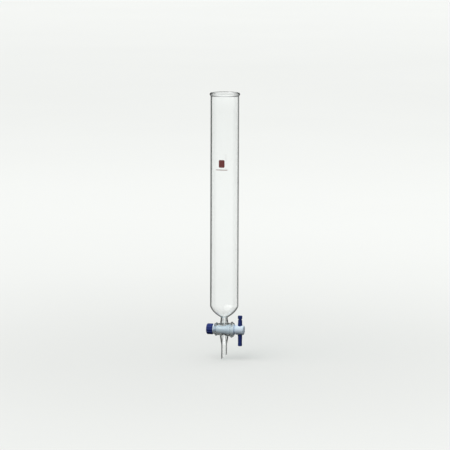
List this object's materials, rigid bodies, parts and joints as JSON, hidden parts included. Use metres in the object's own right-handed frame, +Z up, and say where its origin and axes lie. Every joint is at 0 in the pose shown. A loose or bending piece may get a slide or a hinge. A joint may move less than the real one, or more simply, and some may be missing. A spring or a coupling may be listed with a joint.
{
  "type": "separatory funnel",
  "caption": "Open-top cylindrical glass separatory funnel with beaded rim, PTFE stopcock, tee handle and bevelled drip stem.",
  "frame": {"origin": "on the column axis at the height of the lowest point of the bevelled drip tip", "axes": "+Z up along the column axis to the open mouth; +X along the stopcock plug toward the tee handle; -Y is the front, where the fired mark is"},
  "size_m": [0.0562, 0.0443, 0.3955],
  "materials": {
    "borosilicate_glass": "clear, fire polished",
    "fired_enamel": "brick red, satin",
    "ptfe_white": "turned, waxy",
    "polypropylene_blue": "moulded, satin",
    "black_rubber": "matte"
  },
  "bodies": {
    "column": {"glass_body": "borosilicate_glass", "enamel_mark": "fired_enamel"},
    "plug": {"stopcock_plug": "ptfe_white", "tee_handle": "polypropylene_blue"},
    "washer": {"thrust_washer": "ptfe_white"},
    "o_ring": {"tension_o_ring": "black_rubber"},
    "nut": {"retaining_nut": "polypropylene_blue"}
  },
  "joints": [
    {"name": "plug_turn", "type": "hinge", "parent": "column", "child": "plug", "pos_m": [0, 0, 0.045], "axis": [1, 0, 0], "continuous": true},
    {"name": "seal_slide", "type": "slide", "parent": "plug", "child": "o_ring", "axis": [-1, 0, 0], "range_m": [0, 0.00675]},
    {"name": "washer_slide", "type": "slide", "parent": "plug", "child": "washer", "axis": [-1, 0, 0], "range_m": [0, 0.0034]},
    {"name": "nut_turn", "type": "hinge", "parent": "o_ring", "child": "nut", "pos_m": [0, 0, 0.045], "axis": [-1, 0, 0], "range_deg": [0, 1621]}
  ],
  "couplings": [
    {"joint": "nut_turn", "follows": "seal_slide", "rad_per_m": 4188.8},
    {"joint": "washer_slide", "follows": "seal_slide", "ratio": 0.5}
  ]
}
